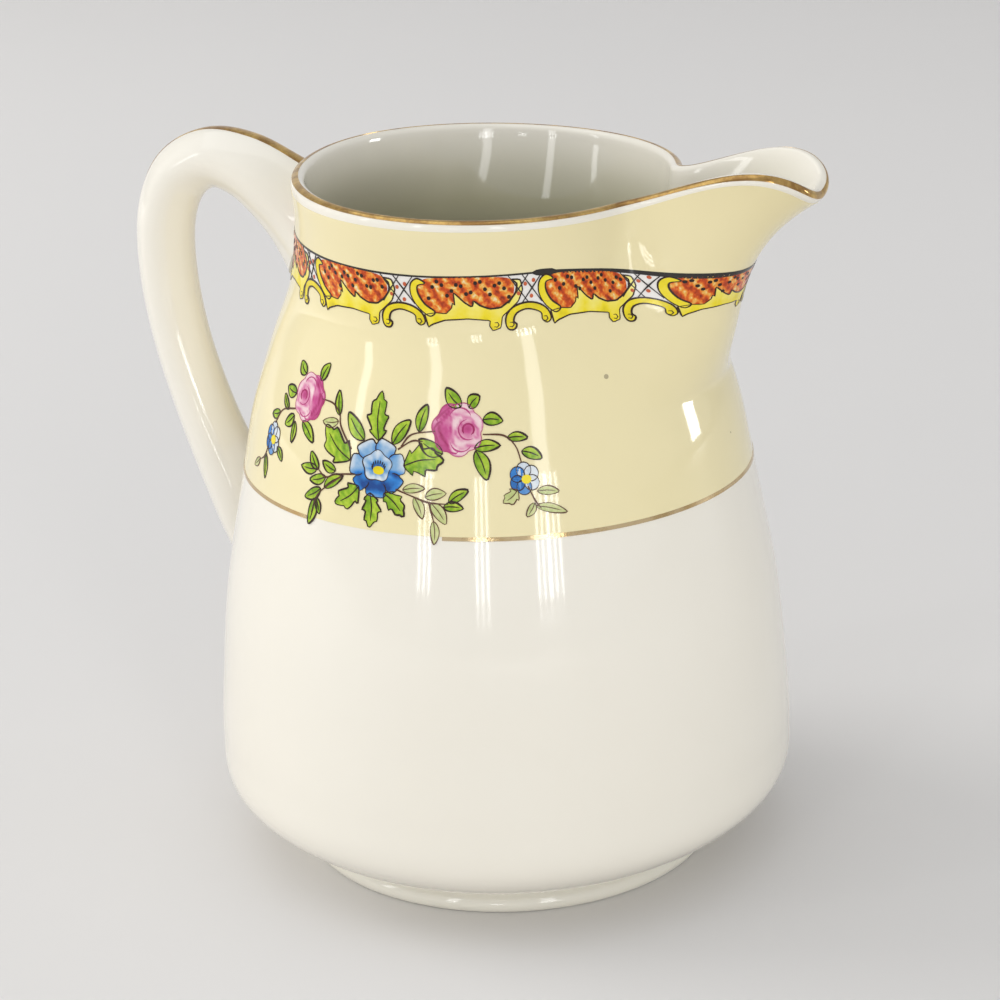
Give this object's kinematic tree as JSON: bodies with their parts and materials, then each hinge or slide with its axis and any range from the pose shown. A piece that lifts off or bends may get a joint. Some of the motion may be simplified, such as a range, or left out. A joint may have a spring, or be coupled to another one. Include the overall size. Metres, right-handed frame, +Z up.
{
  "type": "cream jug",
  "caption": "Pear-shaped porcelain cream jug with a foot ring, a pulled pouring lip, a loop handle and printed floral decoration.",
  "frame": {"origin": "centre of the foot ring, on the table plane", "axes": "+Z up, +X towards the pouring lip, the handle on -X; the jug is mirrored about the XZ plane"},
  "size_m": [0.1052, 0.0848, 0.104],
  "materials": {
    "glazed_porcelain": "clear gloss glaze over warm white porcelain",
    "foot_porcelain": "glazed sides and a bare, smooth foot land",
    "handle_porcelain": "clear gloss glaze over white porcelain",
    "cream_enamel": "even cream ground under gloss",
    "gold_line": "fired liquid gold, slightly worn",
    "border_enamel": "printed and fired enamel border",
    "dark_enamel": "printed dark brown line",
    "gold_rim": "fired liquid gold, polished",
    "gold_handle": "fired liquid gold, polished",
    "spray_enamel": "printed and fired enamel flowers"
  },
  "bodies": {
    "root": {"vessel": "glazed_porcelain", "foot_ring": "foot_porcelain", "handle": "handle_porcelain", "cream_ground": "cream_enamel", "ground_line": "gold_line", "border_print": "border_enamel", "neck_line": "dark_enamel", "rim_gilding": "gold_rim", "handle_gilding": "gold_handle", "front_spray": "spray_enamel", "back_spray": "spray_enamel"}
  },
  "joints": []
}
